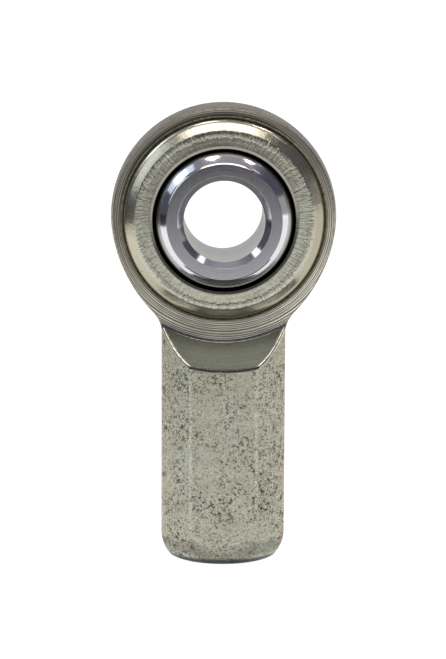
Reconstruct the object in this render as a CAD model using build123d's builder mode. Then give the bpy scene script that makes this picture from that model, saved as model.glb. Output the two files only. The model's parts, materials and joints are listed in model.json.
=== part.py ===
"""Female rod end bearing with a 5/16 in ball bore and a 5/16-24 UNF thread in its shank.

The origin is the centre of the ball. The bore axis is Y, and the shank runs down along -Z.
"""
from build123d import *
import math
import os

os.makedirs("parts", exist_ok=True)

INCH = 25.4

# Head of the body: a crowned disc about Y with two turned faces
head_radius = 0.875 * INCH / 2
rim_edge_radius = 10.85
head_half = 3.35
race_seat_radius = 9.85
race_seat_chamfer = 0.22

# Neck: each flank is an arc that leaves the head tangentially
flank_radius = 14.76
flank_start = 13.6
flank_sweep = 48.0

# Scoop that thins the shank into the neck, turned about Y
scoop_start_radius = 12.10
scoop_end_radius = 14.60
scoop_overrun = 2.0

# Shank: a square bar with its four corners turned round
across_flats = 12.2
corner_radius = 6.90
centre_to_end = 34.2
shank_top = -8.0
end_chamfer = 1.7
end_chamfer_height = 1.6

# Thread in the shank, 5/16-24 UNF, kept at its minor diameter
thread_minor_radius = 3.45
thread_length = 17.5
countersink_radius = 4.15
drill_run_out = 3.0
drill_tip_angle = 118.0

# Ball
ball_radius = 0.625 * INCH / 2
ball_width = 0.4375 * INCH
bore_radius = 0.3125 * INCH / 2
bore_chamfer = 0.58

# Race halves, pressed in from each side of the head
ball_clearance = 0.03
race_gap = 0.2
race_face = 4.30
shoulder_radius = 8.74
shoulder_drop = 0.72
shoulder_blend = 0.55
shoulder_edge = 0.95
lip_radius = 6.97
lip_bevel_radius = 7.25
lip_bevel_drop = 0.09

# Worked out from the values above
half_flats = across_flats / 2
race_sphere = ball_radius + ball_clearance
ball_half = ball_width / 2
ball_face_radius = math.sqrt(ball_radius**2 - ball_half**2)
scoop_slope = (scoop_end_radius - scoop_start_radius) / (half_flats - head_half)
scoop_outer_y = half_flats + scoop_overrun
scoop_outer_radius = scoop_end_radius + scoop_overrun * scoop_slope
countersink_top = -centre_to_end + countersink_radius - thread_minor_radius
hole_top = -centre_to_end + thread_length + drill_run_out
tip_height = thread_minor_radius / math.tan(math.radians(drill_tip_angle / 2))
flank_offset = flank_radius - head_radius
flank_edge_radius = flank_radius - (head_radius - rim_edge_radius)


# ---------------------------------------------------------------- body
def flank_plane(side):
    """Plane through the flank's own axis and the point where the flank leaves the head."""
    start = math.radians(flank_start)
    out = Vector(side * math.cos(start), 0, -math.sin(start))
    return Plane(origin=out * -flank_offset, x_dir=out, z_dir=out.cross(Vector(0, 1, 0)))


with BuildPart() as body:
    # Crowned head
    with BuildSketch(Plane.XY):
        with BuildLine():
            Polyline((0, head_half), (0, -head_half), (rim_edge_radius, -head_half))
            ThreePointArc((rim_edge_radius, -head_half), (head_radius, 0), (rim_edge_radius, head_half))
            Line((rim_edge_radius, head_half), (0, head_half))
        make_face()
    revolve(axis=Axis.Y)

    # Flanks of the neck, with the same crown as the head
    for side in (-1, 1):
        plane = flank_plane(side)
        with BuildSketch(plane):
            with BuildLine():
                Polyline((0, head_half), (0, -head_half), (flank_edge_radius, -head_half))
                ThreePointArc(
                    (flank_edge_radius, -head_half),
                    (flank_radius, 0),
                    (flank_edge_radius, head_half),
                )
                Line((flank_edge_radius, head_half), (0, head_half))
            make_face()
        revolve(axis=Axis(plane.origin, (0, side, 0)), revolution_arc=flank_sweep)

    # Shank
    with BuildSketch(Plane.XY.offset(-centre_to_end)):
        Rectangle(across_flats, across_flats)
        Circle(corner_radius, mode=Mode.INTERSECT)
    extrude(amount=centre_to_end + shank_top)

    # Scoops on both sides
    for side in (-1, 1):
        with BuildSketch(Plane.XY):
            with BuildLine():
                Polyline(
                    (0, side * head_half),
                    (scoop_start_radius, side * head_half),
                    (scoop_outer_radius, side * scoop_outer_y),
                    (0, side * scoop_outer_y),
                    close=True,
                )
            make_face()
        revolve(axis=Axis.Y, mode=Mode.SUBTRACT)

    # Chamfer round the end of the shank
    with BuildSketch(Plane.XZ):
        with BuildLine():
            Polyline(
                (corner_radius - end_chamfer, -centre_to_end),
                (corner_radius + end_chamfer, -centre_to_end),
                (corner_radius + end_chamfer, -centre_to_end + 2 * end_chamfer_height),
                close=True,
            )
        make_face()
    revolve(axis=Axis.Z, mode=Mode.SUBTRACT)

    # Seat for the race halves
    with BuildSketch(Plane.XZ.offset(-head_half)):
        Circle(race_seat_radius)
    extrude(amount=2 * head_half, mode=Mode.SUBTRACT)
    seat_edges = body.edges().filter_by(GeomType.CIRCLE).filter_by(
        lambda e: abs(e.radius - race_seat_radius) < 0.01
    )
    chamfer(seat_edges, length=race_seat_chamfer)

    # Tapped hole with its drill tip and countersink
    with BuildSketch(Plane.XZ):
        with BuildLine():
            Polyline(
                (0, -centre_to_end),
                (countersink_radius, -centre_to_end),
                (thread_minor_radius, countersink_top),
                (thread_minor_radius, hole_top),
                (0, hole_top + tip_height),
                close=True,
            )
        make_face()
    revolve(axis=Axis.Z, mode=Mode.SUBTRACT)

body.part.label = "body"
export_step(body.part, "parts/body.step")


# ---------------------------------------------------------------- race halves
def race_half(side):
    """One half of the race; side is -1 in front and 1 at the rear."""
    start_y = race_gap / 2
    start_radius = math.sqrt(race_sphere**2 - start_y**2)
    lip_y = math.sqrt(race_sphere**2 - lip_radius**2)
    middle_y = (start_y + lip_y) / 2
    middle_radius = math.sqrt(race_sphere**2 - middle_y**2)
    with BuildPart() as half:
        with BuildSketch(Plane.XY):
            with BuildLine():
                ThreePointArc(
                    (start_radius, side * start_y),
                    (middle_radius, side * middle_y),
                    (lip_radius, side * lip_y),
                )
                Polyline(
                    (lip_radius, side * lip_y),
                    (lip_radius, side * (race_face - lip_bevel_drop)),
                    (lip_bevel_radius, side * race_face),
                )
                FilletPolyline(
                    (lip_bevel_radius, side * race_face),
                    (shoulder_radius, side * race_face),
                    (race_seat_radius, side * (race_face - shoulder_drop)),
                    (race_seat_radius, side * start_y),
                    radius=[shoulder_blend, shoulder_edge],
                )
                Line((race_seat_radius, side * start_y), (start_radius, side * start_y))
            make_face()
        revolve(axis=Axis.Y)
    return half


race_front = race_half(-1)
race_front.part.label = "race_front"
export_step(race_front.part, "parts/race_front.step")

race_rear = race_half(1)
race_rear.part.label = "race_rear"
export_step(race_rear.part, "parts/race_rear.step")


# ---------------------------------------------------------------- ball
with BuildPart() as ball:
    with BuildSketch(Plane.XY):
        with BuildLine():
            Polyline(
                (ball_face_radius, ball_half),
                (bore_radius + bore_chamfer, ball_half),
                (bore_radius, ball_half - bore_chamfer),
                (bore_radius, -ball_half + bore_chamfer),
                (bore_radius + bore_chamfer, -ball_half),
                (ball_face_radius, -ball_half),
            )
            ThreePointArc((ball_face_radius, -ball_half), (ball_radius, 0), (ball_face_radius, ball_half))
        make_face()
    revolve(axis=Axis.Y)

ball.part.label = "ball"
export_step(ball.part, "parts/ball.step")
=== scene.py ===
"""Looks for the rod end bearing: a forged and turned body, two drawn race halves and a chromed ball."""
import json
import math

import bpy
import numpy as np
from mathutils import Matrix, Vector


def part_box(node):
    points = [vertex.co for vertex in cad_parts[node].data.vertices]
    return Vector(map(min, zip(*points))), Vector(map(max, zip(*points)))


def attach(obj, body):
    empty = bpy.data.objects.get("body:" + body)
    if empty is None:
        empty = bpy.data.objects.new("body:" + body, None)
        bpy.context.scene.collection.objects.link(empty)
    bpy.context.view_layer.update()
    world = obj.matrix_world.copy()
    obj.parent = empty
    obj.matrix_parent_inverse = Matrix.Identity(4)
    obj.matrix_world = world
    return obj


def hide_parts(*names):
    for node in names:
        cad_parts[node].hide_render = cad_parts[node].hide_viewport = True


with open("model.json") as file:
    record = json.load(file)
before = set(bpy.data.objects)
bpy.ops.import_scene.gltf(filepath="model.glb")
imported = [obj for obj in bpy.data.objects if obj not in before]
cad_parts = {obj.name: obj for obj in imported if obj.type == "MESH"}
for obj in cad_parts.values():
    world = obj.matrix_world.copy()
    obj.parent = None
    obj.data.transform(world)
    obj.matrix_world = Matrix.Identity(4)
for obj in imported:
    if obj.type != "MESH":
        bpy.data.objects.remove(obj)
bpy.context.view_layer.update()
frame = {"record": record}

MM = 0.001

# ---------------------------------------------------------------- sizes, in millimetres
body_low, body_high = (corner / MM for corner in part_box("body"))
ball_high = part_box("ball")[1] / MM
race_low, race_high = (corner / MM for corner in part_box("race_front"))
mounts = {mount["name"]: mount for mount in frame["record"]["mounts"]}

HEAD_RADIUS = body_high.z
HALF_FLATS = body_high.y
SHANK_END = body_low.z
BALL_RADIUS = ball_high.z
BALL_HALF = ball_high.y
SEAT_RADIUS = race_high.z
RACE_FACE = -race_low.y
RACE_START = -race_high.y
BORE_RADIUS = mounts["ball_bore"]["dims"]["r_mm"]
THREAD_MINOR = mounts["shank_thread"]["dims"]["r_mm"]

# Head and neck
HEAD_HALF = 3.35             # mid-plane to turned face
RIM_CROWN = 0.26             # how far the rim falls away at the turned faces
CROWN_LIMIT = 1.5
SEAT_CHAMFER = 0.22
FLANK_RADIUS = 14.76
FLANK_START = math.radians(13.6)
SCOOP_START = 12.10
SCOOP_END = 14.60

# Shank and its tapped hole
SHANK_TOP = -8.0
CORNER_RADIUS = 6.90
CHAMFER = 1.7
CHAMFER_HEIGHT = 1.6
THREAD_PITCH = 25.4 / 24
THREAD_DEPTH = 0.52
THREAD_LENGTH = 17.5
THREAD_MOUTH = 0.78          # width of a groove at the wall, as a share of the pitch
THREAD_FLANK = 0.62          # width of its two flanks together, as a share of the pitch
HOLE_DEPTH = 20.5
DRILL_HALF_ANGLE = math.radians(59)
COUNTERSINK = 4.15

# How far each edge of the body is rounded over
FLAT_EDGE = 0.2
CORNER_EDGE = 0.12
CHAMFER_EDGE = 1.2
END_EDGE = 0.3
NECK_FILLET = 0.9
SCOOP_FILLET = 0.10
FACE_EDGE = 0.14
SEAT_EDGE = 0.06

# Race halves and ball
BALL_CLEARANCE = 0.03
LIP_RADIUS = 6.97
LIP_BEVEL = 7.25
SHOULDER_START = 8.74
SHOULDER_DROP = 0.72
BORE_CHAMFER = 0.58

# Bands of the race's face, as radii: its raised ripples, its streaks and its slow sway
RIPPLE_BAND = (8.20, 8.68)
STREAK_BAND = (7.0, 8.5)
SWAY_BAND = (7.0, 9.6)

TURNING_PITCH = 0.205        # between the lathe's lines on the turned faces


# ---------------------------------------------------------------- mesh helpers
def smooth_max(a, b, k):
    """Larger of two distances, with the edge between them rounded over about k."""
    h = np.maximum(k - np.abs(a - b), 0.0) / k
    return np.maximum(a, b) + h * h * k * 0.25


def smooth_min(a, b, k):
    return -smooth_max(-a, -b, k)


def fade(value, zero, one):
    """Straight ramp that is 0 at the value zero and 1 at the value one, and level outside them."""
    return np.clip((value - zero) / (one - zero), 0, 1)


def gradient(field, points, step=0.01):
    """Central differences of a distance field."""
    out = np.empty_like(points)
    for axis in range(3):
        shift = np.zeros(3)
        shift[axis] = step
        out[:, axis] = (field(points + shift) - field(points - shift)) / (2 * step)
    return out


def surface_net(field, low, high, step):
    """Quads round the zero surface of a distance field: one vertex in each grid cell that it crosses."""
    margin = 1.5 * step
    low = np.asarray(low) - margin
    counts = np.ceil((np.asarray(high) + margin - low) / step).astype(int) + 1
    axes = [low[a] + step * np.arange(counts[a]) for a in range(3)]
    grid = np.stack(np.meshgrid(*axes, indexing="ij"), axis=-1)
    values = np.concatenate([field(slab.reshape(-1, 3)) for slab in grid]).reshape(counts)
    inside = values < 0

    # Each grid edge that the surface cuts gives one quad, between the four cells round that edge
    total = np.zeros((*(counts - 1), 3))
    hits = np.zeros(counts - 1)
    crossings = []
    for axis in range(3):
        head = [slice(None)] * 3
        tail = [slice(None)] * 3
        head[axis] = slice(None, -1)
        tail[axis] = slice(1, None)
        cut = inside[tuple(head)] != inside[tuple(tail)]
        i, j, k = np.nonzero(cut)
        start = np.stack((i, j, k), axis=1)
        a = values[tuple(head)][cut]
        b = values[tuple(tail)][cut]
        place = grid[i, j, k].copy()
        place[:, axis] += step * a / (a - b)
        others = [o for o in range(3) if o != axis]
        corners = []
        for du, dv in ((0, 0), (-1, 0), (-1, -1), (0, -1)):
            cell = start.copy()
            cell[:, others[0]] += du
            cell[:, others[1]] += dv
            np.add.at(total, tuple(cell.T), place)
            np.add.at(hits, tuple(cell.T), 1)
            corners.append(cell)
        flip = (a < 0) != (axis == 1)
        crossings.append((corners, flip))

    # A cell's vertex is the mean of its cuts
    index = -np.ones(hits.shape, int)
    used = hits > 0
    index[used] = np.arange(used.sum())
    points = total[used] / hits[used][:, None]
    quads = []
    for corners, flip in crossings:
        ids = np.stack([index[tuple(cell.T)] for cell in corners], axis=1)
        ids[~flip] = ids[~flip][:, ::-1]
        quads.append(ids)
    return points, np.concatenate(quads)


def settle(field, points, quads, rounds=6, ease=0.5):
    """Evens the quads out along the surface and puts every point back on it."""
    flattest = 0.25
    sides = np.concatenate([quads[:, (a, (a + 1) % 4)] for a in range(4)])
    degree = np.bincount(sides.ravel(), minlength=len(points)).astype(float)
    for _ in range(rounds):
        total = np.zeros_like(points)
        np.add.at(total, sides[:, 0], points[sides[:, 1]])
        np.add.at(total, sides[:, 1], points[sides[:, 0]])
        points = points + ease * (total / degree[:, None] - points)
        for _ in range(2):
            slope = gradient(field, points)
            length2 = np.maximum((slope**2).sum(axis=1), flattest)
            points = points - slope * (field(points) / length2)[:, None]
    return points


def make_mesh(name, points_mm, faces, normals):
    """Smooth-shaded mesh with the normal given at each point."""
    mesh = bpy.data.meshes.new(name)
    mesh.from_pydata((points_mm * MM).tolist(), [], faces.tolist())
    mesh.update()
    mesh.shade_smooth()
    mesh.normals_split_custom_set_from_vertices(normals.tolist())
    piece = bpy.data.objects.new(name, mesh)
    bpy.context.scene.collection.objects.link(piece)
    return piece


# ---------------------------------------------------------------- body
def outline_distance(p):
    """Head, flanks and their crowned rim, as a prism along Y."""
    x = np.abs(p[:, 0])
    z = p[:, 2]
    head = np.hypot(x, z) - HEAD_RADIUS
    offset = FLANK_RADIUS - HEAD_RADIUS
    flank = np.hypot(x + offset * math.cos(FLANK_START), z - offset * math.sin(FLANK_START)) - FLANK_RADIUS
    below = z < -x * math.tan(FLANK_START)
    crown = RIM_CROWN * np.minimum((p[:, 1] / HEAD_HALF) ** 2, CROWN_LIMIT)
    return np.where(below, flank, head) + crown


def shank_distance(p):
    """Bar with four flats, round corners and a chamfered end."""
    x = np.abs(p[:, 0])
    y = np.abs(p[:, 1])
    z = p[:, 2]
    around = np.hypot(x, y)
    flats = smooth_max(x - HALF_FLATS, y - HALF_FLATS, FLAT_EDGE)
    bar = smooth_max(flats, around - CORNER_RADIUS, CORNER_EDGE)
    slope = math.hypot(CHAMFER, CHAMFER_HEIGHT)
    chamfer = (around - CORNER_RADIUS + CHAMFER) * CHAMFER_HEIGHT - (z - SHANK_END) * CHAMFER
    bar = smooth_max(bar, chamfer / slope, CHAMFER_EDGE)
    bar = smooth_max(bar, SHANK_END - z, END_EDGE)
    return np.maximum(bar, z - SHANK_TOP)


def thread_radius(p):
    """Wall of the tapped hole: a right-hand thread, its countersink and the plain drilled end."""
    depth = p[:, 2] - SHANK_END
    turn = np.arctan2(p[:, 1], p[:, 0]) / (2 * math.pi)
    phase = np.abs(((depth / THREAD_PITCH - turn) % 1.0) - 0.5) * 2
    run_out = np.clip((THREAD_LENGTH - depth) / THREAD_PITCH, 0, 1)
    groove = THREAD_DEPTH * np.clip((THREAD_MOUTH - phase) / THREAD_FLANK, 0, 1) * run_out
    return np.maximum(THREAD_MINOR + groove, COUNTERSINK - depth)


def body_distance(p):
    """The whole body: the outline and the shank, thinned by the scoops, less the seat and the hole."""
    around_y = np.hypot(p[:, 0], p[:, 2])
    around_z = np.hypot(p[:, 0], p[:, 1])
    y = np.abs(p[:, 1])
    solid = smooth_min(outline_distance(p), shank_distance(p), NECK_FILLET)

    slope = (SCOOP_END - SCOOP_START) / (HALF_FLATS - HEAD_HALF)
    scoop = ((y - HEAD_HALF) * slope - (around_y - SCOOP_START)) / math.hypot(1, slope)
    thickness = smooth_min(y - HEAD_HALF, scoop, SCOOP_FILLET)
    solid = smooth_max(solid, thickness, FACE_EDGE)

    seat = SEAT_RADIUS + np.clip(SEAT_CHAMFER - (HEAD_HALF - y), 0, 1)
    solid = smooth_max(solid, seat - around_y, SEAT_EDGE)

    cone = (THREAD_MINOR - around_z) / math.tan(DRILL_HALF_ANGLE)
    tip = (p[:, 2] - SHANK_END - HOLE_DEPTH - cone) * math.sin(DRILL_HALF_ANGLE)
    hole = np.maximum(around_z - thread_radius(p), tip)
    return np.maximum(solid, -hole)


def body_masks(points, normals):
    """Where the body is turned, scooped or worn at an edge, and where shade is painted in its inner
    corners, in the creases where the scoops start and end, and as a dark reflection along the shank's end,
    each 0 to 1.
    """
    y = np.abs(points[:, 1])
    z = points[:, 2]
    from_end = z - SHANK_END
    around_y = np.hypot(points[:, 0], z)
    facing = fade(np.abs(normals[:, 1]), 0.90, 0.98)
    outward = np.hypot(normals[:, 0], normals[:, 1])

    # Turned faces, and the conical scoops with the line that each starts at
    on_face = fade(np.abs(y - HEAD_HALF), 0.15, 0.0)
    inside_scoop = fade(around_y, SCOOP_START + 0.05, SCOOP_START - 0.05)
    past_start = around_y > SCOOP_START - 0.03
    before_end = around_y < SCOOP_END + 0.05
    sloping = np.abs(normals[:, 2]) > 0.05
    cone = fade(np.abs(normals[:, 1]), 0.5, 0.6) * (past_start & before_end & sloping)
    start_line = np.hypot(around_y - SCOOP_START, HEAD_HALF - y)
    end_line = np.hypot(around_y - SCOOP_END, HALF_FLATS - y)

    # How far the surface turns away from its tangent plane within a small reach, outwards and inwards
    reach = 0.22
    edge = body_distance(points - normals * reach) / reach + 1
    corner = 1 - body_distance(points + normals * reach) / reach
    on_shank = fade(z, -9.0, -10.5) * fade(from_end, 2.7, 4.2)

    return {
        "turned": facing * on_face * inside_scoop,
        "scoop": np.maximum(cone, fade(start_line, 0.312, 0.192)),
        "wear": np.clip(edge * 18.0 - 0.22, 0, 1) * on_shank,
        # Painted dark reflection on the sides just above the shank's end
        "end": fade(from_end, 0.85, 0.50) * fade(outward, 0.0, 0.5),
        # Painted shade in the creases where the scoops start and end
        "seam": fade(np.minimum(end_line, start_line * 0.75), 0.195, 0.065),
        "rim": fade(around_y, HEAD_RADIUS - 0.3, HEAD_RADIUS - 0.2) * fade(z, -2.1, 4.9) * (1 - facing),
        # Painted shade in the inner corners
        "cavity": np.clip(corner * 10.0 - 0.3, 0, 1),
    }


def make_body():
    step = 0.15
    points, quads = surface_net(body_distance, body_low, body_high, step)
    points = settle(body_distance, points, quads)
    normals = gradient(body_distance, points)
    normals /= np.linalg.norm(normals, axis=1)[:, None]
    piece = make_mesh("body_forging", points, quads, normals)
    for mask, values in body_masks(points, normals).items():
        layer = piece.data.attributes.new(mask, "FLOAT", "POINT")
        layer.data.foreach_set("value", values.astype(np.float32))
    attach(piece, "housing")
    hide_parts("body")
    return piece


# ---------------------------------------------------------------- turned pieces
def rounded(corners, steps=5):
    """Outline through (radius, y, fillet) corners, each corner rounded by its fillet."""
    out = []
    for i, (r, y, fillet) in enumerate(corners):
        here = np.array((r, y))
        before = np.array(corners[i - 1][:2])
        after = np.array(corners[(i + 1) % len(corners)][:2])
        if fillet == 0:
            out.append(here)
            continue
        a = (before - here) / np.linalg.norm(before - here)
        b = (after - here) / np.linalg.norm(after - here)
        half = math.acos(np.clip(a @ b, -1, 1)) / 2
        reach = fillet / math.tan(half)
        middle = here + (a + b) / np.linalg.norm(a + b) * fillet / math.sin(half)
        start = here + a * reach - middle
        end = here + b * reach - middle
        swing = math.pi - 2 * half
        for t in np.linspace(0, 1, steps):
            spoke = start * math.sin((1 - t) * swing) + end * math.sin(t * swing)
            out.append(middle + spoke / math.sin(swing))
    return out


def area_normals(points, quads):
    """Normal of each point: the mean of its quads' normals, weighted by their areas."""
    first = points[quads[:, 2]] - points[quads[:, 0]]
    second = points[quads[:, 3]] - points[quads[:, 1]]
    across = np.cross(first, second)
    total = np.zeros_like(points)
    for corner in range(4):
        np.add.at(total, quads[:, corner], across)
    return total / np.linalg.norm(total, axis=1)[:, None]


def lathe(name, profile, segments, relief=None):
    """Turns a closed (radius, y) profile about the bore axis; relief adds to y from radius and angle."""
    profile = np.array(profile)
    count = len(profile)
    angle = np.arange(segments) * 2 * math.pi / segments
    radius = np.repeat(profile[:, 0], segments)
    y = np.repeat(profile[:, 1], segments)
    turn = np.tile(angle, count)
    if relief is not None:
        y = y + relief(radius, y, turn)
    points = np.stack((radius * np.cos(turn), y, radius * np.sin(turn)), axis=1)
    i = np.repeat(np.arange(count), segments)
    j = np.tile(np.arange(segments), count)
    i2 = (i + 1) % count
    j2 = (j + 1) % segments
    quads = np.stack((i * segments + j, i * segments + j2, i2 * segments + j2, i2 * segments + j), axis=1)
    a, b, c = (points[quads[:, corner]] for corner in range(3))
    volume = np.einsum("ij,ij->i", a, np.cross(b, c)).sum()
    if volume < 0:
        quads = quads[:, ::-1]
    return make_mesh(name, points, quads, area_normals(points, quads))


def waves(turn, low, high, count, seed):
    """Irregular wave round the circle, about -1 to 1, from whole-number frequencies."""
    draw = np.random.default_rng(seed)
    total = np.zeros_like(turn)
    for frequency in draw.integers(low, high, count):
        total += draw.uniform(0.4, 1.0) * np.sin(frequency * turn + draw.uniform(0, 2 * math.pi))
    return total / math.sqrt(count)


def bump_window(value, low, high):
    """1 in the middle of a band and 0 outside it."""
    return np.clip(1 - np.abs((value - (low + high) / 2) / ((high - low) / 2)) ** 2, 0, 1)


def race_profile(side):
    """Closed outline of a race half: the sphere from the middle plane to the lip, then the outside."""
    sphere = BALL_RADIUS + BALL_CLEARANCE
    lip_angle = math.acos(LIP_RADIUS / sphere)
    first_angle = math.asin(RACE_START / sphere)
    outline = [
        (sphere * math.cos(t), sphere * math.sin(t)) for t in np.linspace(first_angle, lip_angle, 24)
    ]
    face = RACE_FACE
    crown = [
        (LIP_RADIUS, sphere * math.sin(lip_angle) + 0.02, 0),
        (LIP_RADIUS, face - 0.09, 0.04),
        (LIP_BEVEL, face, 0.16),
        (7.62, face - 0.012, 0.40),
        (8.20, face - 0.018, 0.30),
        (8.44, face - 0.013, 0.30),
        (SHOULDER_START, face - 0.02, 0.55),
        (SEAT_RADIUS, face - SHOULDER_DROP, 0.95),
        (SEAT_RADIUS, RACE_START, 0),
    ]
    outline += rounded(crown, 8)
    return [(r, side * y) for r, y in outline]


def make_race(name, node, side, seed):
    """Race half whose face carries the drawing marks, deepest at the top; side is -1 in front."""
    def relief(radius, y, turn):
        ripple_height = 0.015 + 0.008 * np.sin(turn)
        ripple = bump_window(radius, *RIPPLE_BAND) * waves(turn, 90, 240, 24, seed) * ripple_height
        streak = bump_window(radius, *STREAK_BAND) * waves(turn, 60, 230, 20, seed + 1) * 0.004
        sway = bump_window(radius, *SWAY_BAND) * waves(turn, 2, 7, 4, seed + 2) * 0.006
        highest = 0.012
        on_face = np.abs(y) > RACE_FACE - 0.5
        return side * np.minimum(ripple + streak + sway, highest) * on_face

    piece = lathe(name, race_profile(side), 720, relief)
    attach(piece, "housing")
    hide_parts(node)
    return piece


def make_ball():
    """Ball with flat ends and a chamfered bore."""
    face_radius = math.sqrt(BALL_RADIUS**2 - BALL_HALF**2)
    start = math.asin(BALL_HALF / BALL_RADIUS)
    sphere = [
        (BALL_RADIUS * math.cos(t), BALL_RADIUS * math.sin(t)) for t in np.linspace(-start, start, 90)[1:-1]
    ]
    corners = [
        (face_radius, BALL_HALF, 0.05),
        (BORE_RADIUS + BORE_CHAMFER, BALL_HALF, 0.03),
        (BORE_RADIUS, BALL_HALF - BORE_CHAMFER, 0.06),
        (BORE_RADIUS, -BALL_HALF + BORE_CHAMFER, 0.06),
        (BORE_RADIUS + BORE_CHAMFER, -BALL_HALF, 0.03),
        (face_radius, -BALL_HALF, 0.05),
    ]
    piece = lathe("ball_polished", rounded(corners) + sphere, 360)
    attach(piece, "ball")
    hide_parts("ball")
    return piece


# ---------------------------------------------------------------- node trees
def colour4(value):
    return (*value, 1) if isinstance(value, tuple) and len(value) == 3 else value


class Graph:
    """Short way to write a node tree: each call adds a node and returns one of its outputs."""

    def __init__(self, tree):
        self.tree = tree

    def add(self, kind, inputs=(), out=0, **settings):
        made = self.tree.nodes.new(kind)
        for key, value in settings.items():
            setattr(made, key, value)
        for socket, value in dict(inputs).items():
            self.feed(made.inputs[socket], value)
        return made.outputs[out]

    def feed(self, socket, value):
        if isinstance(value, bpy.types.NodeSocket):
            self.tree.links.new(value, socket)
        else:
            socket.default_value = value

    def math(self, operation, a, b=0.0, c=0.0):
        return self.add("ShaderNodeMath", {0: a, 1: b, 2: c}, operation=operation)

    def plus(self, a, b):
        return self.math("ADD", a, b)

    def minus(self, a, b):
        return self.math("SUBTRACT", a, b)

    def times(self, a, b):
        return self.math("MULTIPLY", a, b)

    def ramp(self, value, low, high, to_low=0.0, to_high=1.0):
        """Straight ramp from to_low at the value low to to_high at the value high."""
        inputs = {"Value": value, "From Min": low, "From Max": high, "To Min": to_low, "To Max": to_high}
        return self.add("ShaderNodeMapRange", inputs)

    def mix(self, factor, a, b):
        inputs = {0: factor, 6: colour4(a), 7: colour4(b)}
        return self.add("ShaderNodeMix", inputs, out=2, data_type="RGBA")


class Surface(Graph):
    """Node tree of one material, laid out in the piece's own coordinates."""

    def __init__(self, name):
        self.material = bpy.data.materials.new(name)
        self.material.use_nodes = True
        super().__init__(self.material.node_tree)
        self.shader = self.tree.nodes["Principled BSDF"]
        self.place = self.add("ShaderNodeTexCoord", out="Object")

    def along(self, axis):
        """Coordinate on an axis, in millimetres."""
        return self.times(self.add("ShaderNodeSeparateXYZ", {0: self.place}, out=axis), 1 / MM)

    def round_bore(self):
        """Radius from the bore axis in millimetres, and the direction round it."""
        x = self.add("ShaderNodeSeparateXYZ", {0: self.place}, out="X")
        z = self.add("ShaderNodeSeparateXYZ", {0: self.place}, out="Z")
        across = self.add("ShaderNodeCombineXYZ", {0: x, 2: z})
        length = self.add("ShaderNodeVectorMath", {0: across}, out="Value", operation="LENGTH")
        around = self.add("ShaderNodeVectorMath", {0: across}, operation="NORMALIZE")
        return self.times(length, 1 / MM), around

    def lean(self, around, towards):
        """How far the direction round the bore points towards another one, -1 to 1."""
        inputs = {0: around, 1: towards}
        return self.add("ShaderNodeVectorMath", inputs, out="Value", operation="DOT_PRODUCT")

    def noise(self, size, detail=2.0, where=None, rough=0.5, dimensions="3D"):
        """Noise whose features are about size millimetres across, or size units of the given place."""
        scale = 1 / (size * MM) if where is None else 1 / size
        inputs = {"Scale": scale, "Detail": detail, "Roughness": rough}
        if dimensions == "1D":
            inputs["W"] = where
        else:
            inputs["Vector"] = self.place if where is None else where
        return self.add("ShaderNodeTexNoise", inputs, noise_dimensions=dimensions)

    def mask(self, name):
        return self.add("ShaderNodeAttribute", out="Fac", attribute_name=name)

    def bump(self, height, distance, strength, under=None):
        inputs = {"Height": height, "Distance": distance * MM, "Strength": strength}
        if under is not None:
            inputs["Normal"] = under
        return self.add("ShaderNodeBump", inputs)

    def finish(self, colour, roughness, metallic, normal):
        self.feed(self.shader.inputs["Base Color"], colour)
        self.feed(self.shader.inputs["Roughness"], roughness)
        self.feed(self.shader.inputs["Normal"], normal)
        self.shader.inputs["Metallic"].default_value = metallic
        return self.material


def plain(name, colour, roughness):
    """Material of one colour, for the floor and for cards that are never seen."""
    material = bpy.data.materials.new(name)
    material.use_nodes = True
    shader = material.node_tree.nodes["Principled BSDF"]
    shader.inputs["Base Color"].default_value = (*colour, 1)
    shader.inputs["Roughness"].default_value = roughness
    return material, shader


# ---------------------------------------------------------------- body's material
DOWN_RIGHT = (0.35, 0.0, -0.937)     # directions across the eye, as seen from the front
UP_LEFT = (-0.35, 0.0, 0.937)
# Colour of the painted shade in the groove between the race and the body
GROOVE_SHADE = (0.03, 0.027, 0.022)


def forged_skin(g, tone, grain):
    """Plated forging: greenish and warm patches, grey mottling, flecks, and scuffs on its right side."""
    colour = g.mix(tone, (0.53, 0.52, 0.40), (0.64, 0.635, 0.515))
    green = g.ramp(g.noise(2.2, 3), 0.35, 0.7)
    colour = g.mix(g.times(green, 0.5), colour, (0.56, 0.63, 0.54))
    mottle = g.ramp(g.noise(0.7, 3, rough=0.6), 0.35, 0.65, 0.0, 0.45)
    colour = g.mix(mottle, colour, (0.42, 0.415, 0.33))

    near_sides = g.ramp(g.math("ABSOLUTE", g.along("X")), 4.4, 5.6)
    warmth = g.times(near_sides, g.ramp(g.noise(2.6, 3), 0.3, 0.6, 0.3, 0.8))
    colour = g.mix(warmth, colour, (0.64, 0.57, 0.45))
    colour = g.mix(g.ramp(grain, 0.42, 0.66, 0.0, 0.75), colour, (0.27, 0.265, 0.21))
    light_fleck = g.ramp(g.noise(0.16, 2, rough=0.6), 0.60, 0.68, 0.0, 0.6)
    colour = g.mix(light_fleck, colour, (0.85, 0.83, 0.72))

    right_side = g.ramp(g.along("X"), 2.9, 3.8)
    squeezed = g.add("ShaderNodeVectorMath", {0: g.place, 1: (1.0, 1.0, 7.0)}, operation="MULTIPLY")
    scuff = g.ramp(g.noise(0.9 * MM, 3, where=squeezed, rough=0.6), 0.52, 0.66)
    return g.mix(g.times(g.times(scuff, right_side), 0.55), colour, (0.17, 0.16, 0.125))


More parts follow.
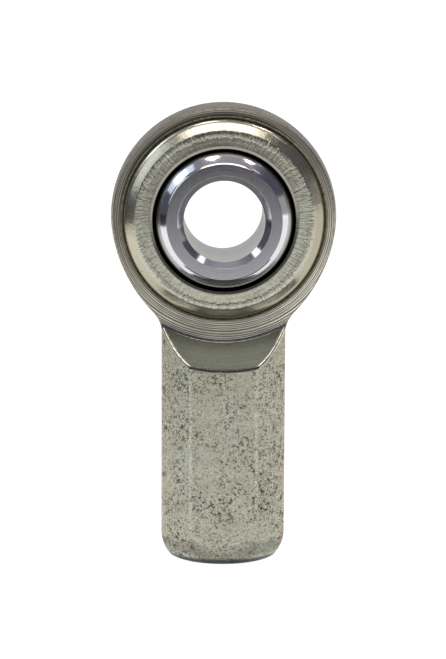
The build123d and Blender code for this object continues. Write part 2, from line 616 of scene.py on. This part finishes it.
def forged_pits(g, rough_skin):
    """Rust-brown pits in clusters, and all dark marks together, with the fine specks between them."""
    clusters = g.ramp(g.noise(3.2, 3, rough=0.6), 0.40, 0.62)
    fine = g.ramp(g.noise(0.20, 3, rough=0.65), 0.54, 0.61)
    coarse = g.ramp(g.noise(0.55, 4, rough=0.74), 0.555, 0.615)
    specks = g.times(fine, g.plus(g.times(clusters, 0.55), 0.42))
    pits = g.times(coarse, clusters)
    dark = g.math("MINIMUM", g.plus(specks, pits), 1.0)
    return pits, g.times(dark, g.times(rough_skin, 0.88))


def scoop_colour(g, tone, radius):
    """Smooth scoop with painted shade that darkens it towards the eye, under the turned face's edge, and
    faint lathe lines.
    """
    colour = g.mix(tone, (0.29, 0.31, 0.24), (0.37, 0.385, 0.30))
    # Painted shade under the edge of the turned face
    colour = g.mix(g.ramp(radius, 13.0, 12.1, 0.0, 0.55), colour, (0.13, 0.15, 0.13))
    lathe_lines = g.ramp(g.noise(0.22, 2, where=radius, dimensions="1D"), 0.4, 0.62, 0.0, 0.35)
    return g.mix(lathe_lines, colour, (0.20, 0.21, 0.17))


def turning_rings(g, radius):
    """Lathe lines of the turned faces, 0 to 1, slightly uneven in their spacing."""
    drift = g.noise(0.8, 2, where=radius, dimensions="1D")
    turns = g.times(g.plus(radius, g.times(drift, 0.25)), 2 * math.pi / TURNING_PITCH)
    return g.math("MULTIPLY_ADD", g.math("SINE", turns), 0.5, 0.5)


def turned_colour(g, radius, around, rings):
    """Turned faces: lathe lines, brighter low on the right and darker at the top left, partly the metal's
    tone and partly painted light and shade, with painted shade in the groove beside the race.
    """
    line = g.ramp(rings, 0.05, 0.60)
    dark_side_lines = g.mix(line, (0.080, 0.070, 0.055), (0.36, 0.335, 0.275))
    bright_side_lines = g.mix(line, (0.22, 0.205, 0.165), (0.98, 0.95, 0.80))
    # Partly the metal's tone and partly painted light and shade: brighter low on the right, darker at the
    # top left
    lean = g.lean(around, DOWN_RIGHT)
    colour = g.mix(g.ramp(lean, -0.2, 0.95), dark_side_lines, bright_side_lines)
    colour = g.mix(g.ramp(g.noise(1.6, 2), 0.4, 0.7, 0.0, 0.2), colour, (0.25, 0.25, 0.21))
    # Painted shade in the groove beside the race, wider and darker at the top left
    groove_edge = g.minus(radius, g.ramp(lean, -0.1, -0.8, 10.10, 10.36))
    groove_shade = g.ramp(lean, 0.1, -0.7, 0.40, 0.92)
    return g.mix(g.ramp(groove_edge, 0.09, -0.07, 0.0, groove_shade), colour, GROOVE_SHADE)


def forged_zinc():
    """Satin zinc chromate over a pitted forging, with turning marks on the eye's faces."""
    g = Surface("forged_zinc")
    radius, around = g.round_bore()
    turned = g.mask("turned")
    scoop = g.mask("scoop")
    rim = g.mask("rim")
    rough_skin = g.minus(1.0, g.math("MAXIMUM", turned, scoop))
    tone = g.ramp(g.noise(4.5, 4), 0.3, 0.7)
    grain = g.noise(0.12, 4, rough=0.7)

    pits, dark = forged_pits(g, rough_skin)
    colour = forged_skin(g, tone, grain)
    colour = g.mix(dark, colour, g.mix(pits, (0.055, 0.050, 0.042), (0.095, 0.062, 0.036)))
    colour = g.mix(scoop, colour, scoop_colour(g, tone, radius))
    rings = turning_rings(g, radius)
    colour = g.mix(turned, colour, turned_colour(g, radius, around, rings))

    bands = g.ramp(g.noise(0.55, 2, where=g.along("Y"), dimensions="1D", rough=0.6), 0.40, 0.58)
    band_lines = g.times(bands, g.ramp(g.noise(1.4, 3), 0.35, 0.65, 0.5, 1.0))
    rim_tone = g.mix(band_lines, (0.085, 0.075, 0.065), (0.37, 0.335, 0.285))
    colour = g.mix(g.times(rim, 0.85), colour, rim_tone)

    worn = g.times(g.mask("wear"), g.ramp(g.noise(0.5, 3), 0.3, 0.6, 0.35, 0.85))
    colour = g.mix(worn, colour, (0.90, 0.87, 0.76))
    # Painted shade in the body's inner corners
    colour = g.mix(g.times(g.mask("cavity"), 0.8), colour, (0.05, 0.048, 0.042))
    # Painted shade in the creases where the scoops start and end
    colour = g.mix(g.times(g.mask("seam"), 0.75), colour, (0.070, 0.080, 0.110))
    # Painted dark reflection along the sides just above the shank's end
    colour = g.mix(g.times(g.mask("end"), 0.95), colour, (0.030, 0.045, 0.050))

    roughness = g.ramp(grain, 0.3, 0.7, 0.38, 0.52)
    roughness = g.plus(roughness, g.times(dark, 0.25))
    for smoother, amount in ((scoop, 0.14), (turned, 0.12), (worn, 0.15)):
        roughness = g.minus(roughness, g.times(smoother, amount))

    skin = g.times(g.minus(g.times(grain, 0.5), dark), rough_skin)
    normal = g.bump(skin, 0.030, 0.8)
    normal = g.bump(g.noise(1.8, 3), 0.05, 0.5, under=normal)
    normal = g.bump(g.times(rings, turned), 0.022, 0.9, under=normal)
    normal = g.bump(g.times(bands, rim), 0.03, 0.8, under=normal)
    g.shader.inputs["Specular IOR Level"].default_value = 0.45
    return g.finish(colour, roughness, 0.97, normal)


# ---------------------------------------------------------------- race's material
def drawn_marks(g, radius, around):
    """Fine radial streaks on the race's face, and the two bands of the face that show them."""
    streak = g.noise(0.028, 3, where=around, rough=0.6)
    fine_streak = g.noise(0.011, 2, where=around, rough=0.6)
    band = g.times(g.ramp(radius, 7.1, 7.8), g.ramp(radius, 8.75, 8.5))
    ragged = g.plus(radius, g.times(g.ramp(streak, 0.3, 0.7), 0.35))
    ripple = g.times(g.ramp(ragged, 8.30, 8.45), g.ramp(ragged, 8.86, 8.72))
    return fine_streak, band, ripple


def drawn_zinc():
    """Zinc chromate over drawn sheet: radial streaks near the mouth and a polished shoulder."""
    g = Surface("drawn_zinc")
    radius, around = g.round_bore()
    lean = g.lean(around, UP_LEFT)
    tone = g.ramp(g.noise(3.0, 4), 0.3, 0.7)
    colour = g.mix(tone, (0.51, 0.505, 0.41), (0.63, 0.625, 0.525))
    colour = g.mix(g.ramp(g.noise(1.1, 3), 0.45, 0.75, 0.0, 0.45), colour, (0.46, 0.50, 0.43))
    # Partly the shoulder's polished tone and partly painted light: brighter at the upper left, darker at
    # the lower right
    shoulder_tone_and_light = g.mix(g.ramp(lean, -0.4, 0.8), (0.40, 0.365, 0.255), (0.74, 0.70, 0.56))
    colour = g.mix(g.ramp(radius, 8.6, 9.1, 0.0, 0.75), colour, shoulder_tone_and_light)

    fine_streak, band, ripple = drawn_marks(g, radius, around)
    broken = g.times(band, g.ramp(g.noise(0.45, 3, rough=0.7), 0.42, 0.60, 0.1, 1.0))
    marks = g.times(g.ramp(fine_streak, 0.42, 0.60), g.math("MAXIMUM", broken, ripple))
    mark_depth = g.times(marks, g.ramp(lean, -0.6, 0.6, 0.36, 0.64))
    colour = g.mix(mark_depth, colour, (0.21, 0.205, 0.16))

    specks = g.times(g.ramp(g.noise(0.28, 3), 0.68, 0.73), g.ramp(g.noise(3.2, 2), 0.42, 0.62))
    colour = g.mix(g.times(specks, 0.9), colour, (0.06, 0.045, 0.035))
    grain = g.noise(0.09, 3, rough=0.7)
    colour = g.mix(g.ramp(grain, 0.42, 0.75, 0.0, 0.6), colour, (0.26, 0.25, 0.20))

    # Dull bevel at the lip, painted shade on the lip's wall beside the ball, and painted shade in the
    # groove beside the body, darker at the upper left
    colour = g.mix(g.ramp(radius, 7.44, 7.24, 0.0, 0.6), colour, (0.21, 0.21, 0.17))
    colour = g.mix(g.ramp(radius, 7.05, 6.98), colour, (0.02, 0.019, 0.017))
    groove_shade = g.ramp(lean, -0.1, 0.7, 0.40, 0.85)
    colour = g.mix(g.ramp(radius, 9.70, 9.83, 0.0, groove_shade), colour, GROOVE_SHADE)

    roughness = g.ramp(radius, 8.5, 9.2, 0.22, 0.15)
    roughness = g.plus(roughness, g.ramp(grain, 0.3, 0.8, -0.02, 0.08))
    normal = g.bump(g.minus(grain, specks), 0.012, 0.6)
    height = g.times(fine_streak, g.plus(g.times(band, 0.35), ripple))
    normal = g.bump(height, 0.045, 0.8, under=normal)
    normal = g.bump(g.noise(1.0, 3), 0.05, 0.5, under=normal)
    return g.finish(colour, roughness, 0.95, normal)


# ---------------------------------------------------------------- ball's materials
def polished_chrome():
    """Mirror finish of the sphere and the chamfers, with painted shade in a band where the race's lip laps
    the sphere.
    """
    g = Surface("polished_chrome")
    radius, _ = g.round_bore()
    colour = g.mix(g.ramp(g.noise(1.2, 4), 0.3, 0.7), (0.66, 0.66, 0.70), (0.72, 0.72, 0.75))
    depth = g.math("ABSOLUTE", g.along("Y"))
    # Painted shade on the sphere beside and under the race's lip
    lip_shade = g.times(g.ramp(depth, 4.68, 4.46, 0.0, 0.8), g.ramp(radius, 5.0, 5.4))
    colour = g.mix(lip_shade, colour, (0.10, 0.10, 0.11))
    roughness = g.ramp(g.noise(0.5, 4, rough=0.7), 0.35, 0.75, 0.10, 0.17)
    return g.finish(colour, roughness, 1.0, g.bump(g.noise(0.9, 3), 0.004, 0.4))


def satin_chrome():
    """Ground flat faces of the ball, with faint grinding arcs."""
    g = Surface("satin_chrome")
    radius, _ = g.round_bore()
    rings = g.noise(0.05, 2, where=radius, dimensions="1D")
    grain = g.noise(0.07, 3, rough=0.7)
    colour = g.mix(g.ramp(grain, 0.3, 0.7), (0.34, 0.335, 0.36), (0.40, 0.395, 0.42))
    colour = g.mix(g.ramp(rings, 0.45, 0.7, 0.0, 0.25), colour, (0.30, 0.295, 0.32))
    normal = g.bump(grain, 0.006, 0.5, under=g.bump(rings, 0.005, 0.5))
    return g.finish(colour, g.ramp(grain, 0.3, 0.7, 0.11, 0.18), 1.0, normal)


def bore_chrome():
    """Honed bore of the ball: pale, softly blurred, with a few specks."""
    g = Surface("bore_chrome")
    grain = g.noise(0.10, 3, rough=0.7)
    specks = g.ramp(g.noise(0.35, 2), 0.70, 0.74)
    colour = g.mix(g.ramp(grain, 0.3, 0.7), (0.47, 0.455, 0.44), (0.53, 0.515, 0.50))
    colour = g.mix(specks, colour, (0.12, 0.10, 0.09))
    return g.finish(colour, g.ramp(grain, 0.3, 0.7, 0.34, 0.46), 0.6, g.bump(grain, 0.008, 0.6))


def paint_ball(ball):
    """Polished all over, except for the flat faces and the bore."""
    for material in (polished_chrome(), satin_chrome(), bore_chrome()):
        ball.data.materials.append(material)
    for face in ball.data.polygons:
        centre = face.center / MM
        if abs(face.normal.y) > 0.98:
            face.material_index = 1
        elif math.hypot(centre.x, centre.z) < BORE_RADIUS + 0.01:
            face.material_index = 2


# ---------------------------------------------------------------- pieces
body = make_body()
body.data.materials.append(forged_zinc())
race_front = make_race("race_front_half", "race_front", -1, 11)
race_rear = make_race("race_rear_half", "race_rear", 1, 23)
race_material = drawn_zinc()
for race in (race_front, race_rear):
    race.data.materials.append(race_material)
paint_ball(make_ball())


# ---------------------------------------------------------------- stage, light and camera
FLOOR_SIZE = 6.0
FLOOR_HEIGHT = SHANK_END * MM
CARD_SIZE = 2.8              # side of the two dark cards beyond the paper's edges
TABLE_EDGE = 0.215           # from the object to the near edge of the paper
EDGE_TURN = math.radians(30)
LEFT_EDGE = -0.165
ROOM = (0.085, 0.088, 0.110)
CEILING = (0.34, 0.34, 0.37)
WHITE = (1, 1, 1)
CAMERA_DISTANCE = 0.267
CAMERA_ELEVATION = math.radians(9.8)
CAMERA_AZIMUTH = math.radians(-1.0)
CAMERA_ROLL = math.radians(0.27)
CAMERA_AIM = Vector((0, 0, -0.01146))
FIELD_OF_VIEW = math.radians(13.99258)


def make_card(name, size, centre=(0, 0, 0), turn=0.0):
    """Flat rectangle, level and turned about Z."""
    mesh = bpy.data.meshes.new(name)
    w, h = size[0] / 2, size[1] / 2
    mesh.from_pydata([(-w, -h, 0), (w, -h, 0), (w, h, 0), (-w, h, 0)], [], [(0, 1, 2, 3)])
    card = bpy.data.objects.new(name, mesh)
    card.location = centre
    card.rotation_euler = (0, 0, turn)
    bpy.context.scene.collection.objects.link(card)
    return card


def make_floor():
    """White paper under the object, lit from within so that it stays white."""
    floor = make_card("floor", (FLOOR_SIZE, FLOOR_SIZE), (0, 0, FLOOR_HEIGHT))
    paper, shader = plain("floor_paper", (0.22, 0.22, 0.22), 0.8)
    shader.inputs["Emission Color"].default_value = colour4(WHITE)
    shader.inputs["Emission Strength"].default_value = 0.97
    floor.data.materials.append(paper)


def make_flag(name, size, centre, turn=0.0):
    """Dark card that only reflections and soft light see."""
    flag = make_card(name, size, centre, turn)
    flag.visible_camera = False
    flag.visible_shadow = False
    flag.data.materials.append(plain(name, (0.03, 0.03, 0.035), 0.9)[0])


def make_flags():
    """Dark table beyond the paper's near and left edges, and a small dark card over the shank's top that is
    painted shade: in reflections it stands for the shade in front of the shank's foot.
    """
    card = (CARD_SIZE, CARD_SIZE)
    reach = TABLE_EDGE + CARD_SIZE / 2
    near = (-math.sin(EDGE_TURN) * reach, -math.cos(EDGE_TURN) * reach, FLOOR_HEIGHT + 0.0002)
    make_flag("table_edge", card, near, -EDGE_TURN)
    make_flag("left_edge", card, (LEFT_EDGE - CARD_SIZE / 2, 0, FLOOR_HEIGHT + 0.0003))
    # Painted shade: a dark card seen only in reflections, standing for the shade in front of the shank's
    # foot
    make_flag("apron", (0.026, 0.0038), (0.002, -0.0079, -0.0139))


def make_light(name, place, size, power, colour):
    """Rectangle of light, in metres and watts, aimed at the ball."""
    light = bpy.data.lights.new(name, "AREA")
    light.shape = "RECTANGLE"
    light.size, light.size_y = size
    light.energy = power
    light.color = colour
    lamp = bpy.data.objects.new(name, light)
    lamp.location = place
    lamp.rotation_mode = "QUATERNION"
    lamp.rotation_quaternion = (-Vector(place)).to_track_quat("-Z", "Y")
    bpy.context.scene.collection.objects.link(lamp)


def make_world():
    """White paper behind the object, a dim room elsewhere, and plain white wherever the camera looks."""
    world = bpy.data.worlds.new("studio")
    bpy.context.scene.world = world
    world.use_nodes = True
    nodes = world.node_tree.nodes
    g = Graph(world.node_tree)
    direction = g.add("ShaderNodeTexCoord", out="Generated")
    ahead = g.add("ShaderNodeSeparateXYZ", {0: direction}, out="Y")
    upward = g.add("ShaderNodeSeparateXYZ", {0: direction}, out="Z")
    room_tone = g.mix(g.ramp(upward, 0.70, 0.97), ROOM, CEILING)
    tone = g.mix(g.ramp(ahead, 0.70, 0.85), room_tone, WHITE)
    g.feed(nodes["Background"].inputs["Color"], tone)
    white = g.add("ShaderNodeBackground", {"Color": colour4(WHITE)})
    seen_directly = g.add("ShaderNodeLightPath", out="Is Camera Ray")
    inputs = {0: seen_directly, 1: nodes["Background"].outputs[0], 2: white}
    g.feed(nodes["World Output"].inputs["Surface"], g.add("ShaderNodeMixShader", inputs))


def make_camera():
    data = bpy.data.cameras.new("camera")
    data.angle = FIELD_OF_VIEW
    camera = bpy.data.objects.new("camera", data)
    back = Vector((
        math.sin(CAMERA_AZIMUTH) * math.cos(CAMERA_ELEVATION),
        -math.cos(CAMERA_AZIMUTH) * math.cos(CAMERA_ELEVATION),
        math.sin(CAMERA_ELEVATION),
    ))
    camera.location = CAMERA_AIM + back * CAMERA_DISTANCE
    camera.rotation_mode = "QUATERNION"
    turn = (-back).to_track_quat("-Z", "Y").to_matrix() @ Matrix.Rotation(CAMERA_ROLL, 3, "Z")
    camera.rotation_quaternion = turn.to_quaternion()
    data.clip_start, data.clip_end = 0.01, 20
    bpy.context.scene.collection.objects.link(camera)
    bpy.context.scene.camera = camera


make_floor()
make_flags()
make_light("window", (-0.40, 0.075, 0.34), (0.22, 0.34), 0.22, (0.78, 0.89, 1.0))
make_light("window_core", (-0.385, 0.060, 0.335), (0.12, 0.15), 0.13, (0.88, 0.95, 1.0))
make_light("warm_left", (-0.10, 0.10, 0.50), (0.09, 0.09), 0.36, (1.0, 0.86, 0.74))
make_light("warm_right", (0.22, 0.12, 0.46), (0.09, 0.09), 0.36, (1.0, 0.86, 0.74))
make_light("ceiling", (0.0, -0.28, 0.43), (0.44, 0.24), 0.95, (1.0, 0.92, 0.84))
make_light("left_sky", (-0.40, -0.28, 0.24), (0.26, 0.30), 0.26, (0.84, 0.93, 1.0))
make_light("left_glint", (-0.386, -0.066, 0.31), (0.07, 0.10), 0.05, (0.80, 0.90, 1.0))
make_light("right_glint", (0.29, -0.07, 0.40), (0.06, 0.08), 0.03, (0.88, 0.94, 1.0))
make_light("right_fill", (0.50, -0.05, 0.06), (0.40, 0.20), 0.08, (1.0, 0.94, 0.86))
make_world()
make_camera()
bpy.context.scene.view_settings.view_transform = "Standard"
